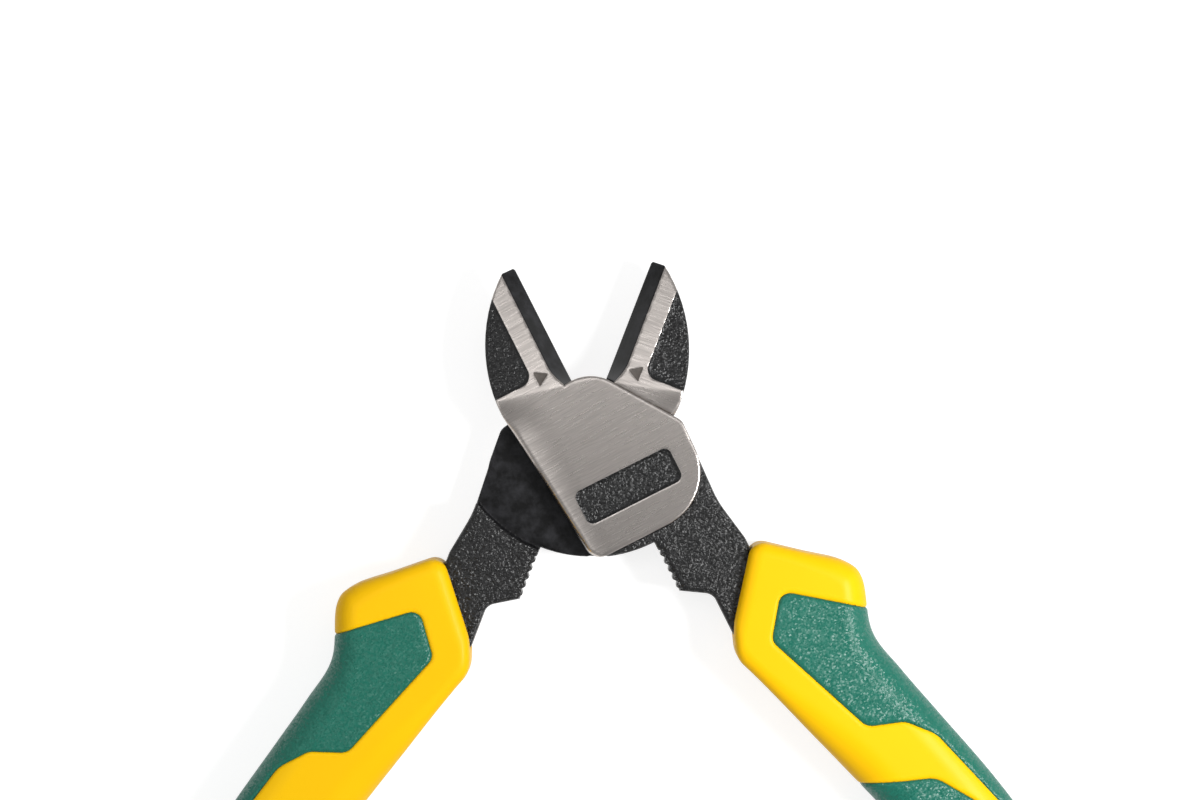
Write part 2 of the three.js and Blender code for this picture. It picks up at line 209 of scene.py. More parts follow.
def rounded(corners):
    """An outline from corners (x, y, radius); a corner with a radius becomes an arc."""
    points = []
    for index, (x, y, *radius) in enumerate(corners):
        corner = Vector((x, y))
        if not radius:
            points.append(np.array([corner]))
            continue
        back = (Vector(corners[index - 1][:2]) - corner).normalized()
        on = (Vector(corners[(index + 1) % len(corners)][:2]) - corner).normalized()
        half_angle = math.acos(back.dot(on)) / 2
        centre = corner + (back + on).normalized() * radius[0] / math.sin(half_angle)
        setback = radius[0] / math.tan(half_angle)
        first = corner + back * setback - centre
        last = corner + on * setback - centre
        start = math.atan2(first.y, first.x)
        turn = math.remainder(math.atan2(last.y, last.x) - start, 2 * math.pi)
        points.append(arc(centre, radius[0], start, start + turn))
    return np.concatenate(points)


def spline(knots):
    """Points on an even Catmull-Rom curve through the knots."""
    knots = np.asarray(knots, dtype=float)
    padded = np.concatenate((knots[:1], knots, knots[-1:]))
    share = np.linspace(0, 1, SPAN_POINTS, endpoint=False)[:, None]
    spans = []
    for before, start, end, after in zip(padded, padded[1:], padded[2:], padded[3:]):
        slope_in = (end - before) / 2
        slope_out = (after - start) / 2
        cubic = 2 * start - 2 * end + slope_in + slope_out
        square = 3 * end - 3 * start - 2 * slope_in - slope_out
        spans.append(cubic * share ** 3 + square * share ** 2 + slope_in * share + start)
    return np.concatenate(spans + [knots[-1:]])


SEAM_TOP = (HUB_RADIUS * math.cos(SEAM_ANGLE), HUB_RADIUS * math.sin(SEAM_ANGLE))


def jaw_side():
    """From the hub up the cutting edge, over the tip and down the jaw's back to its shoulder."""
    width = JAW_WIDTH - TIP_WIDTH
    height = JAW_REACH - JAW_SHOULDER
    radius = (width ** 2 + height ** 2) / (2 * width)
    sweep = math.asin(height / radius)
    back = arc((radius - JAW_WIDTH, JAW_SHOULDER), radius, math.pi - sweep, math.pi)
    return np.concatenate((((EDGE_X, HUB_RADIUS), (EDGE_X, JAW_REACH)), back))


def seam_and_hub():
    """Round the seam's lower corner, up the seam and round the hub to the cutting edge."""
    corners = (ARM_WAIST[:2], (SIDE_WIDTH, -SEAM_DROP, SEAM_ROUND), SEAM_TOP)
    hub = arc((0, 0), HUB_RADIUS, SEAM_ANGLE, math.pi / 2)
    return np.concatenate((rounded(corners)[1:-1], hub))


def plate_outline():
    """The jaw and the raised joint plate, which share one face."""
    foot = rounded((
        (-JAW_WIDTH, JAW_SHOULDER), (-FOOT_WIDTH, -PLATE_FOOT, FOOT_ROUND),
        (PLATE_SIDE, -PLATE_FOOT, PLATE_ROUND), (SIDE_WIDTH, -SEAM_DROP),
    ))
    return np.concatenate((jaw_side(), foot[1:-1], seam_and_hub()))


def lever_outline(teeth_end):
    """Jaw, lap and arm, with the inner side of the arm let in for its teeth."""
    foot_angle = math.acos(-FOOT_WIDTH / LAP_RADIUS)
    foot_start = (-FOOT_WIDTH, FOOT_ROUND - LAP_RADIUS * math.sin(foot_angle))
    foot = arc(
        (0, 0), LAP_RADIUS, FOOT_ROUND / LAP_RADIUS - foot_angle, -math.acos(INNER_X / LAP_RADIUS))
    root_x = INNER_X + TOOTH_DEPTH
    side = rounded((
        (INNER_X, -LAP_RADIUS), (INNER_X, -TEETH_START), (root_x, -TEETH_START), (root_x, -teeth_end),
        (INNER_X, -teeth_end), ARM_INNER, ARM_END_INNER, ARM_END_OUTER, ARM_OUTER, ARM_WAIST,
        (SIDE_WIDTH, -SEAM_DROP),
    ))
    return np.concatenate((jaw_side(), (foot_start,), foot, side[1:-1], seam_and_hub()))


def wall_outline():
    """Where the other lever's seam comes to rest against this jaw."""
    turn = Matrix.Rotation(-OPENING, 2)
    top = turn @ Vector((-SEAM_TOP[0], SEAM_TOP[1]))
    along = (turn @ Vector((-SIDE_WIDTH, -SEAM_DROP)) - top).normalized()
    top += SEAM_GAP * Vector((along.y, -along.x))
    hub = arc((0, 0), HUB_RADIUS + SEAM_GAP, math.atan2(top.y, top.x), math.pi / 2)
    far_left = top + along * FAR
    right = ((WALL_REACH, HUB_RADIUS + SEAM_GAP), (WALL_REACH, FAR), (far_left.x, FAR))
    return np.concatenate(((far_left,), hub, right))


def grip_outline():
    """The grip's two sides, run on past its mouth until they meet."""
    inner = spline(GRIP_INNER_SIDE)
    outer = spline(GRIP_OUTER_SIDE)
    step = outer[0] - outer[2]
    meeting = outer[0] + step * (inner[0, 0] - outer[0, 0]) / step[0]
    return np.concatenate(((meeting,), inner, outer[::-1]))


def tang_outline():
    """The middle of the grip, from inside its mouth to where the tang ends."""
    inner = spline(GRIP_INNER_SIDE)
    outer = spline(GRIP_OUTER_SIDE)
    span = slice(TANG_START_POINT, SPAN_POINTS * TANG_END_SECTION + 1)
    middle = (inner + outer)[span] / 2
    across = (outer - inner)[span]
    across *= TANG_HALF_WIDTH / np.linalg.norm(across, axis=1)[:, None]
    return np.concatenate((middle - across, (middle + across)[::-1]))


# Signed distances in millimetres, negative inside, for a grid or for loose points alike


def outline_distance(outline, x, y):
    nearest = np.full(np.broadcast(x, y).shape, np.inf)
    inside = np.zeros(nearest.shape, dtype=bool)
    for (ax, ay), (bx, by) in zip(outline, np.roll(outline, -1, axis=0)):
        dx, dy = bx - ax, by - ay
        length = dx * dx + dy * dy
        if length == 0:
            continue
        px, py = x - ax, y - ay
        share = np.clip((px * dx + py * dy) / length, 0, 1)
        nearest = np.minimum(nearest, (px - share * dx) ** 2 + (py - share * dy) ** 2)
        if dy:
            inside ^= ((ay > y) != (by > y)) & (px < dx * py / dy)
    return np.where(inside, -1, 1) * np.sqrt(nearest)


def rounded_both(first, second, radius):
    """What lies inside both shapes, with the edge between them rounded."""
    corner = np.hypot(np.maximum(first + radius, 0), np.maximum(second + radius, 0))
    return np.minimum(np.maximum(first, second), -radius) + corner


def ramp(share):
    share = np.clip(share, 0, 1)
    return share * share * (3 - 2 * share)


BEND_LENGTH = math.hypot(BEND_RISE, JAW_WIDTH)
TIP_ACROSS = (JAW_WIDTH * (JAW_REACH - BEND_START) - BEND_RISE * TIP_WIDTH / 2) / BEND_LENGTH
FACE_FALL = (HALF - TIP_HALF) / TIP_ACROSS


def face_height(x, y):
    """Height of the face over the mid-plane: a plate rolled down at its side, and a sloping jaw."""
    across = (BEND_RISE * x + JAW_WIDTH * (y - BEND_START)) / BEND_LENGTH
    rolled = np.clip((-ROLL_START - x) / ROLL_WIDTH, 0, ROLL_LIMIT)
    roll = ROLL_FALL * rolled ** 2 * ramp(-across / ROLL_FADE)
    return HALF - FACE_FALL * np.maximum(across, 0) - roll


def bevel_reach(y):
    """Width of the bevel beside the cutting edge, which narrows towards the hub."""
    share = np.clip((BEVEL_FOOT - y) / (BEVEL_FOOT - HUB_RADIUS), 0, 1)
    return BEVEL_WIDTH - BEVEL_NARROWS * share ** BEVEL_CURVE


def past_hub(x, y):
    """Positive on the jaw above the hub's circle, where the bevel begins."""
    return np.minimum(np.hypot(x, y) - HUB_RADIUS, y - HUB_RADIUS / 2)


def step_distance(x, y):
    return rounded_both(x + STEP_INSET, STEP_START - y, STEP_ROUND)


def panel_distance(x, y):
    across = np.abs(x - PANEL_MIDDLE[0]) - PANEL_SIZE[0] / 2
    along = np.abs(y - PANEL_MIDDLE[1]) - PANEL_SIZE[1] / 2
    return rounded_both(across, along, PANEL_ROUND)


def mark_distance(x, y):
    return outline_distance(np.array(MARK), x, y)


def lap_distance(x, y, z):
    """The half-thickness space in which the other lever's lap turns."""
    outside = np.hypot(x, y) - LAP_RADIUS - RUNNING_GAP
    wall = -outline_distance(WALL, x, y)
    return np.maximum(np.maximum(outside, wall), z - LAP_FLOOR)


def pin_hole_distance(x, y, z, head):
    """The pin's hole: blind in the front lever, open to a countersink in the back one."""
    radius = PIN_RADIUS + PIN_GAP
    if head:
        radius = radius + np.clip(z - HALF + PIN_HEAD_CONE, 0, PIN_HEAD_CONE)
        return np.hypot(x, y) - radius
    return np.maximum(np.hypot(x, y) - radius, z - PIN_END - PIN_GAP)


def lever_distance(x, y, z, lever, sizes, head):
    wall = sizes.step_wall / MM
    plate_edge = sizes.plate_edge / MM
    rolled = sizes.rolled_edge / MM - plate_edge
    arm_edge = sizes.arm_edge / MM
    height = face_height(x, y)
    height = height - STEP_DEPTH * ramp(0.5 - step_distance(x, y) / wall)
    height = height - PANEL_DEPTH * ramp(0.5 - panel_distance(x, y) / wall)
    height = height - MARK_DEPTH * ramp(0.5 - mark_distance(x, y) / wall)
    depth = np.abs(z)
    side = ramp((-ROLLED_EDGE_SIDE - x) / ROLLED_EDGE_SIDE_BLEND)
    edge = plate_edge + rolled * side * ramp((ROLLED_EDGE_TOP - y) / ROLLED_EDGE_TOP_BLEND)
    body = rounded_both(outline_distance(PLATE, x, y), depth - height, edge)
    arm = rounded_both(outline_distance(lever, x, y), depth - np.minimum(ARM_HALF, height), arm_edge)
    tang = rounded_both(outline_distance(TANG, x, y), depth - TANG_HALF, arm_edge)
    body = np.minimum(np.minimum(body, arm), tang)
    body = np.maximum(body, -lap_distance(x, y, z))
    slope = bevel_reach(y) / face_height(-BEVEL_WIDTH, y)
    bevel = (x - EDGE_X + depth * slope) / np.sqrt(1 + slope * slope)
    body = np.maximum(body, np.minimum(bevel, past_hub(x, y)))
    return np.maximum(body, -pin_hole_distance(x, y, z, head))


def mouth_distance(x, y):
    """How far a point lies out beyond the grip's mouth."""
    inner = Vector(GRIP_INNER_SIDE[0])
    along = (Vector(GRIP_OUTER_SIDE[0]) - inner).normalized()
    return (y - inner.y) * along.x - (x - inner.x) * along.y


def grip_distance(x, y, z, sizes):
    """The grip's whole skin: square at the collar, round along the handle."""
    mouth = mouth_distance(x, y)
    plan = rounded_both(outline_distance(GRIP, x, y), mouth, sizes.mouth_corner / MM)
    blend = ramp((-mouth - COLLAR_LENGTH) / COLLAR_BLEND)
    across = (sizes.collar_edge + (sizes.handle_round - sizes.collar_edge) * blend) / MM
    upright = CORNER_HEIGHT * across
    side = plan / across + 1
    top = (np.abs(z) - GRIP_HALF) / upright + 1
    corner = np.hypot(np.maximum(side, 0), np.maximum(top, 0))
    return (np.minimum(np.maximum(side, top), 0) + corner - 1) * upright


def arm_pocket_distance(x, y, z, lever, levers):
    """The room that the arm takes inside the grip."""
    arm = rounded_both(outline_distance(lever, x, y), np.abs(z) - ARM_HALF, levers.arm_edge / MM)
    return arm - ARM_CLEARANCE


PLATE = plate_outline()
WALL = wall_outline()
GRIP = grip_outline()
TANG = tang_outline()


# Meshing


def surface_net(distance, low, high, step):
    """Points and quads of the surface where a distance changes sign, one point to each cell."""
    axes = [np.arange(start, end + step, step) for start, end in zip(low, high)]
    x, y, z = axes[0][:, None, None], axes[1][None, :, None], axes[2][None, None, :]
    values = distance(x, y, z)
    shape = values.shape
    places, corners, quads = [], [], []
    for axis in range(3):
        along, u, v = np.eye(3, dtype=int)[[axis, (axis + 1) % 3, (axis + 2) % 3]]
        lower = np.moveaxis(values, axis, 0)[:-1]
        upper = np.moveaxis(values, axis, 0)[1:]
        crossed = np.moveaxis((lower < 0) != (upper < 0), 0, axis)
        start = np.argwhere(crossed)
        before = values[tuple(start.T)]
        after = values[tuple((start + along).T)]
        place = start + (before / (before - after))[:, None] * along
        ring = [np.ravel_multi_index((start - shift).T, shape) for shift in (u + v, v, 0 * u, u)]
        ring = np.column_stack(ring)
        ring[before > 0] = ring[before > 0, ::-1]
        quads.append(ring)
        corners.append(ring.ravel())
        places.append(np.repeat(place, 4, axis=0))
    cells, index = np.unique(np.concatenate(corners), return_inverse=True)
    places = np.concatenate(places)
    count = np.bincount(index)
    points = np.column_stack([np.bincount(index, places[:, axis]) / count for axis in range(3)])
    quads = np.searchsorted(cells, np.concatenate(quads))
    return points * step + np.array([axis[0] for axis in axes]), quads


def triangles_of(quads):
    return np.concatenate((quads[:, [0, 1, 2]], quads[:, [0, 2, 3]]))


def split_along(points, triangles, value):
    """Cut the triangles along the line on which a value given at the points is zero."""
    beyond = value >= 0
    count = beyond[triangles].sum(axis=1)
    cut = (count == 1) | (count == 2)
    whole, mixed = triangles[~cut], triangles[cut]
    lone_side = beyond[mixed].sum(axis=1) == 1
    first = np.argmax(beyond[mixed] == lone_side[:, None], axis=1)
    mixed = np.stack([np.take_along_axis(mixed, ((first + turn) % 3)[:, None], 1)[:, 0]
                      for turn in range(3)], axis=1)
    edges = np.sort(np.concatenate((mixed[:, [0, 1]], mixed[:, [0, 2]])), axis=1)
    edges, index = np.unique(edges, axis=0, return_inverse=True)
    near, far = value[edges].T
    share = (near / (near - far))[:, None]
    fresh = points[edges[:, 0]] * (1 - share) + points[edges[:, 1]] * share
    on_first, on_last = index.reshape(2, -1) + len(points)
    lone, second, third = mixed.T
    parts = (
        np.column_stack((lone, on_first, on_last)),
        np.column_stack((on_first, second, third)),
        np.column_stack((on_first, third, on_last)),
    )
    return np.concatenate((points, fresh)), np.concatenate((whole, *parts))


def point_normals(points, triangles):
    a, b, c = (points[triangles[:, corner]] for corner in range(3))
    faces = np.cross(b - a, c - a)
    normals = np.zeros_like(points)
    for corner in range(3):
        np.add.at(normals, triangles[:, corner], faces)
    return normals / np.maximum(np.linalg.norm(normals, axis=1), 1e-12)[:, None]


def used_only(points, triangles):
    used, index = np.unique(triangles, return_inverse=True)
    return points[used], index.reshape(triangles.shape)


def opened(points, body):
    """From the closed drawing to the open tool in metres; the back lever is turned over."""
    turn = Matrix.Rotation(OPENING / 2, 3, "Z")
    if body == "back":
        turn = Matrix.Rotation(math.pi, 3, "Y") @ turn
    return (points @ np.array(turn).T + (0, 0, HALF)) * MM


def make_piece(name, body, points, triangles, materials, zones=None):
    mesh = bpy.data.meshes.new(name)
    mesh.from_pydata(opened(points, body), [], triangles)
    for material in materials:
        mesh.materials.append(material)
    if zones is not None:
        mesh.polygons.foreach_set("material_index", zones)
    mesh.shade_smooth()
    piece = bpy.data.objects.new(name, mesh)
    bpy.context.scene.collection.objects.link(piece)
    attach(piece, body)
    return piece


# Finishes


def linear(code):
    """An sRGB hex colour as linear red, green, blue and alpha."""
    shares = [int(code[start:start + 2], 16) / 255 for start in (1, 3, 5)]
    return [share / 12.92 if share <= 0.04045 else ((share + 0.055) / 1.055) ** 2.4
            for share in shares] + [1.0]


def add_node(tree, kind, settings=None, sockets=None):
    """Add a node, with its settings, its socket values and its links from other nodes."""
    node = tree.nodes.new(kind)
    for name, value in (settings or {}).items():
        setattr(node, name, value)
    for name, value in (sockets or {}).items():
        if isinstance(value, bpy.types.NodeSocket):
            tree.links.new(value, node.inputs[name])
        else:
            node.inputs[name].default_value = value
    return node


def start_material(name, **sockets):
    """A new material with constants on its shader, and the object's own coordinates."""
    material = bpy.data.materials.new(name)
    material.use_nodes = True
    tree = material.node_tree
    shader = tree.nodes["Principled BSDF"]
    for socket, value in sockets.items():
        shader.inputs[socket.replace("_", " ")].default_value = value
    return material, tree, shader, add_node(tree, "ShaderNodeTexCoord").outputs["Object"]


def faceted_normal(tree, place, size, tilt):
    """The surface's normal, leaning its own way on each grain of a given size."""
    grains = add_node(tree, "ShaderNodeTexVoronoi", None, {"Vector": place, "Scale": 1 / size})
    lean = add_node(tree, "ShaderNodeVectorMath", {"operation": "SUBTRACT"}, {
        0: grains.outputs["Color"], 1: (0.5, 0.5, 0.5)})
    normal = add_node(tree, "ShaderNodeNewGeometry").outputs["Normal"]
    leaning = add_node(tree, "ShaderNodeVectorMath", {"operation": "MULTIPLY_ADD"}, {
        0: lean.outputs[0], 1: (tilt, tilt, tilt), 2: normal})
    return add_node(tree, "ShaderNodeVectorMath", {"operation": "NORMALIZE"}, {
        0: leaning.outputs[0]}).outputs[0]


def brushed_steel(name, angle, finishes):
    # Tool steel, ground flat and brushed with a belt across the head: a warm grey whose fine streaks
    # run along one line, some bright and some dull, so the plate has a grain and no clear mirror
    material, tree, shader, place = start_material(name, Metallic=1.0)
    streaks = []
    for length, width, turn in ((6 * MM, 0.2 * MM, 0), (9 * MM, 0.45 * MM, math.radians(6))):
        run = add_node(tree, "ShaderNodeMapping", {"vector_type": "TEXTURE"}, {
            "Vector": place, "Rotation": (0, 0, angle + turn), "Scale": (length, width, length)})
        streaks.append(add_node(tree, "ShaderNodeTexNoise", None, {
            "Vector": run.outputs[0], "Scale": 1.0, "Detail": 3.0, "Roughness": 0.6}))
    grain = add_node(tree, "ShaderNodeMix", None, {
        0: 0.4, 2: streaks[0].outputs["Fac"], 3: streaks[1].outputs["Fac"]})
    share = add_node(tree, "ShaderNodeMapRange", None, {
        "Value": grain.outputs[0], "From Min": 0.32, "From Max": 0.68})
    colour = add_node(tree, "ShaderNodeMix", {"data_type": "RGBA"}, {
        0: share.outputs[0], 6: (*finishes.steel_dull, 1), 7: (*finishes.steel_bright, 1)})
    rough = add_node(tree, "ShaderNodeMapRange", None, {
        "Value": grain.outputs[0], "From Min": 0.3, "From Max": 0.7, "To Min": 0.33, "To Max": 0.25})
    bump = add_node(tree, "ShaderNodeBump", None, {
        "Strength": 0.25, "Distance": 0.03 * MM, "Height": streaks[0].outputs["Fac"]})
    tree.links.new(colour.outputs[2], shader.inputs["Base Color"])
    tree.links.new(rough.outputs[0], shader.inputs["Roughness"])
    tree.links.new(bump.outputs[0], shader.inputs["Normal"])
    return material


def blasted_black_steel(finishes):
    # Forged steel, blasted with coarse grit and blacked: a dull near-black skin of pits about 0.6 mm
    # wide. The grains between them are finer, and drawn at 0.28 mm so that they show in the light
    material, tree, shader, place = start_material(
        "blasted_black_steel", Roughness=0.34, Specular_IOR_Level=0.5)
    patch = add_node(tree, "ShaderNodeTexNoise", None, {
        "Vector": place, "Scale": 1 / (1.2 * MM), "Detail": 3.0})
    share = add_node(tree, "ShaderNodeMapRange", None, {
        "Value": patch.outputs["Fac"], "From Min": 0.45, "From Max": 0.75})
    colour = add_node(tree, "ShaderNodeMix", {"data_type": "RGBA"}, {
        0: share.outputs[0], 6: (*finishes.black_skin, 1), 7: (*finishes.black_grain, 1)})
    tree.links.new(colour.outputs[2], shader.inputs["Base Color"])
    pits = add_node(tree, "ShaderNodeTexNoise", None, {
        "Vector": place, "Scale": 1 / (0.6 * MM), "Detail": 2.0})
    bump = add_node(tree, "ShaderNodeBump", None, {
        "Distance": 0.28 * MM, "Height": pits.outputs["Fac"],
        "Normal": faceted_normal(tree, place, 0.28 * MM, 0.45)})
    tree.links.new(bump.outputs[0], shader.inputs["Normal"])
    return material


def oxide_black_steel(finishes):
    # Machined steel blacked in a hot bath: smooth, with a low gloss and faint cloudy patches
    material, tree, shader, place = start_material("oxide_black_steel", Specular_IOR_Level=0.2)
    cloud = add_node(tree, "ShaderNodeTexNoise", None, {
        "Vector": place, "Scale": 1 / (3 * MM), "Detail": 6.0, "Roughness": 0.65})
    share = add_node(tree, "ShaderNodeMapRange", None, {
        "Value": cloud.outputs["Fac"], "From Min": 0.42, "From Max": 0.72})
    colour = add_node(tree, "ShaderNodeMix", {"data_type": "RGBA"}, {
        0: share.outputs[0], 6: (*finishes.oxide_dark, 1), 7: (*finishes.oxide_pale, 1)})
    rough = add_node(tree, "ShaderNodeMapRange", None, {
        "Value": cloud.outputs["Fac"], "To Min": 0.34, "To Max": 0.52})
    fine = add_node(tree, "ShaderNodeTexNoise", None, {"Vector": place, "Scale": 1 / (0.3 * MM)})
    bump = add_node(tree, "ShaderNodeBump", None, {
        "Strength": 0.2, "Distance": 0.04 * MM, "Height": fine.outputs["Fac"]})
    tree.links.new(colour.outputs[2], shader.inputs["Base Color"])
    tree.links.new(rough.outputs[0], shader.inputs["Roughness"])
    tree.links.new(bump.outputs[0], shader.inputs["Normal"])
    return material


def etched_steel(finishes):
    # Steel marked by etching: a matt brownish grey with a fine mottle, darker than the ground face
    material, tree, shader, place = start_material("etched_steel", Roughness=0.6)
    mottle = add_node(tree, "ShaderNodeTexNoise", None, {
        "Vector": place, "Scale": 1 / (0.5 * MM), "Detail": 2.0})
    colour = add_node(tree, "ShaderNodeMix", {"data_type": "RGBA"}, {
        0: mottle.outputs["Fac"], 6: (*finishes.etch_dark, 1), 7: (*finishes.etch_pale, 1)})
    tree.links.new(colour.outputs[2], shader.inputs["Base Color"])
    return material


def turned_pin_steel(finishes):
    # Bright steel faced off in a lathe: fine rings round the pin's axis
    material, tree, shader, place = start_material("turned_pin_steel", Metallic=1.0)
    rings = add_node(tree, "ShaderNodeTexWave", {"wave_type": "RINGS", "rings_direction": "Z"}, {
        "Vector": place, "Scale": 1 / (3 * MM), "Distortion": 0.3, "Detail": 2.0})
    colour = add_node(tree, "ShaderNodeMix", {"data_type": "RGBA"}, {
        0: rings.outputs["Fac"], 6: (*finishes.steel_dull, 1), 7: (*finishes.steel_bright, 1)})
    rough = add_node(tree, "ShaderNodeMapRange", None, {
        "Value": rings.outputs["Fac"], "To Min": 0.28, "To Max": 0.4})
    tree.links.new(colour.outputs[2], shader.inputs["Base Color"])
    tree.links.new(rough.outputs[0], shader.inputs["Roughness"])
    return material


def moulded_yellow_plastic(finishes):
    # Polypropylene from a finely sparked mould: a satin warm yellow, a little deeper in places
    material, tree, shader, place = start_material(
        "moulded_yellow_plastic", IOR=1.49, Specular_IOR_Level=0.15)
    cloud = add_node(tree, "ShaderNodeTexNoise", None, {"Vector": place, "Scale": 1 / (18 * MM)})
    colour = add_node(tree, "ShaderNodeMix", {"data_type": "RGBA"}, {
        0: cloud.outputs["Fac"], 6: (*finishes.yellow_deep, 1), 7: (*finishes.yellow, 1)})
    spark = add_node(tree, "ShaderNodeTexNoise", None, {
        "Vector": place, "Scale": 1 / (0.25 * MM), "Detail": 2.0})
    rough = add_node(tree, "ShaderNodeMapRange", None, {
        "Value": spark.outputs["Fac"], "To Min": 0.36, "To Max": 0.5})
    bump = add_node(tree, "ShaderNodeBump", None, {
        "Strength": 0.12, "Distance": 0.03 * MM, "Height": spark.outputs["Fac"]})
    tree.links.new(colour.outputs[2], shader.inputs["Base Color"])
    tree.links.new(rough.outputs[0], shader.inputs["Roughness"])
    tree.links.new(bump.outputs[0], shader.inputs["Normal"])
    return material


def grained_green_rubber(finishes):
    # Thermoplastic rubber from a grained mould: deep green with a fine grain, drawn at 0.3 mm so that
    # it shows. It sparkles where it turns a lamp's light to the eye and looks smooth elsewhere
    material, tree, shader, place = start_material(
        "grained_green_rubber", IOR=1.5, Roughness=0.4, Specular_IOR_Level=0.48)
    cloud = add_node(tree, "ShaderNodeTexNoise", None, {
        "Vector": place, "Scale": 1 / (1.5 * MM), "Detail": 3.0, "Roughness": 0.6})
    colour = add_node(tree, "ShaderNodeMix", {"data_type": "RGBA"}, {
        0: cloud.outputs["Fac"], 6: (*finishes.green, 1), 7: (*finishes.green_pale, 1)})
    tree.links.new(colour.outputs[2], shader.inputs["Base Color"])
    tree.links.new(faceted_normal(tree, place, 0.3 * MM, 0.45), shader.inputs["Normal"])
    return material


# What a user would change


class LeverSizes(bpy.types.PropertyGroup):
    plate_edge: FloatProperty(
        name="Plate edge", description="Rounding along the ground plates and jaws",
        default=0.16 * MM, min=0.1 * MM, max=0.8 * MM, unit="LENGTH", precision=5)
    rolled_edge: FloatProperty(
        name="Rolled edge", description="Rounding along the outer side of each joint plate",
        default=1.4 * MM, min=0.4 * MM, max=3 * MM, unit="LENGTH", precision=5)
    arm_edge: FloatProperty(
        name="Arm edge", description="Rounding along the forged arms",
        default=0.8 * MM, min=0.2 * MM, max=2 * MM, unit="LENGTH", precision=5)
    step_wall: FloatProperty(
        name="Step wall", description="Width of the wall round the sunk steps and panels",
        default=0.3 * MM, min=0.1 * MM, max=0.6 * MM, unit="LENGTH", precision=5)
    tooth_count: IntProperty(
        name="Teeth", description="Pipe-gripping teeth on each arm", default=5, min=1, max=6)
    tooth_pitch: FloatProperty(
        name="Tooth pitch", description="From one tooth to the next",
        default=1.7 * MM, min=1 * MM, max=1.8 * MM, unit="LENGTH", precision=5)
    mesh_step: FloatProperty(
        name="Mesh step", description="Distance between neighbouring points of a lever",
        default=0.28 * MM, min=0.27 * MM, max=1 * MM, unit="LENGTH", precision=5)


class GripSizes(bpy.types.PropertyGroup):
    collar_edge: FloatProperty(
        name="Collar edge", description="Rounding along the edges of the collar at the mouth",
        default=2.6 * MM, min=1 * MM, max=5 * MM, unit="LENGTH", precision=5)
    handle_round: FloatProperty(
        name="Handle round", description="Rounding along the sides of the handle",
        default=6.6 * MM, min=3 * MM, max=7.6 * MM, unit="LENGTH", precision=5)
    mouth_corner: FloatProperty(
        name="Mouth corner", description="Rounding of the collar's corners, seen from above",
        default=3.0 * MM, min=0.5 * MM, max=4 * MM, unit="LENGTH", precision=5)
    pad_depth: FloatProperty(
        name="Pad depth", description="Thickness of the soft pads",
        default=1.3 * MM, min=0.8 * MM, max=2 * MM, unit="LENGTH", precision=5)
    groove_width: FloatProperty(
        name="Groove width", description="Half the width of the groove round each pad",
        default=0.5 * MM, min=0.1 * MM, max=1 * MM, unit="LENGTH", precision=5)
    groove_depth: FloatProperty(
        name="Groove depth", description="Depth of the groove round each pad",
        default=0.35 * MM, min=0.05 * MM, max=0.6 * MM, unit="LENGTH", precision=5)
    mesh_step: FloatProperty(
        name="Mesh step", description="Distance between neighbouring points of a grip",
        default=0.4 * MM, min=0.36 * MM, max=1 * MM, unit="LENGTH", precision=5)


def colour_property(name, description, code):
    return FloatVectorProperty(
        name=name, description=description, subtype="COLOR", min=0, max=1, default=linear(code)[:3])


class Finishes(bpy.types.PropertyGroup):
    steel_bright: colour_property("Steel, bright", "Bright streaks of the brushed steel", "#CDC6C1")
    steel_dull: colour_property("Steel, dull", "Dull streaks of the brushed steel", "#A29C98")
    black_skin: colour_property("Black skin", "Blasted and blacked steel", "#060607")
    black_grain: colour_property("Black grain", "Paler patches of the blasted steel", "#141415")
    oxide_dark: colour_property("Oxide, dark", "Smooth blacked steel", "#060607")
    oxide_pale: colour_property("Oxide, pale", "Cloudy patches of the blacked steel", "#2C2C2F")
    etch_dark: colour_property("Etch, dark", "Etched marks", "#3D3834")
    etch_pale: colour_property("Etch, pale", "Mottle of the etched marks", "#5C554F")
    yellow: colour_property("Yellow", "Hard plastic of the sleeves", "#FBC700")
    yellow_deep: colour_property("Yellow, deep", "Deeper patches of the sleeves", "#F9BF00")
    green: colour_property("Green", "Soft rubber of the pads", "#066150")
    green_pale: colour_property("Green, pale", "Paler patches of the pads", "#096C5A")


class StageSettings(bpy.types.PropertyGroup):
    view_width: FloatProperty(
        name="View width", description="Width that the picture takes in at the joint plate",
        default=228 * MM, min=50 * MM, max=1, unit="LENGTH", precision=4)
    view_turn: FloatProperty(
        name="View turn", description="Turn of the camera about the pivot axis",
        default=math.radians(-2.885), subtype="ANGLE")
    camera_distance: FloatProperty(
        name="Camera distance", description="From the camera to the joint plate",
        default=0.7, min=0.3, max=3, unit="LENGTH")
    key_power: FloatProperty(
        name="Key power", description="Power of the lamp at the right", default=1.12, unit="POWER")
    strip_power: FloatProperty(
        name="Strip power", description="Power of the strip that the ground jaws reflect",
        default=0.22, unit="POWER")
    panel_power: FloatProperty(
        name="Panel power", description="Power of the panel that the joint plate's side reflects",
        default=0.3, unit="POWER")
    sky: FloatProperty(
        name="Sky", description="Strength of the soft light from all round", default=0.45, min=0)


# Pieces


def pin_profile():
    """Radius and height down the pin's side, over the mid-plane, from its head to its end."""
    return (
        (0, -HALF), (PIN_HEAD_RADIUS - 2 * PIN_CHAMFER, -HALF),
        (PIN_HEAD_RADIUS - PIN_CHAMFER, PIN_CHAMFER - HALF), (PIN_RADIUS, PIN_HEAD_CONE - HALF),
        (PIN_RADIUS, PIN_END - PIN_CHAMFER), (PIN_RADIUS - PIN_CHAMFER, PIN_END), (0, PIN_END),
    )


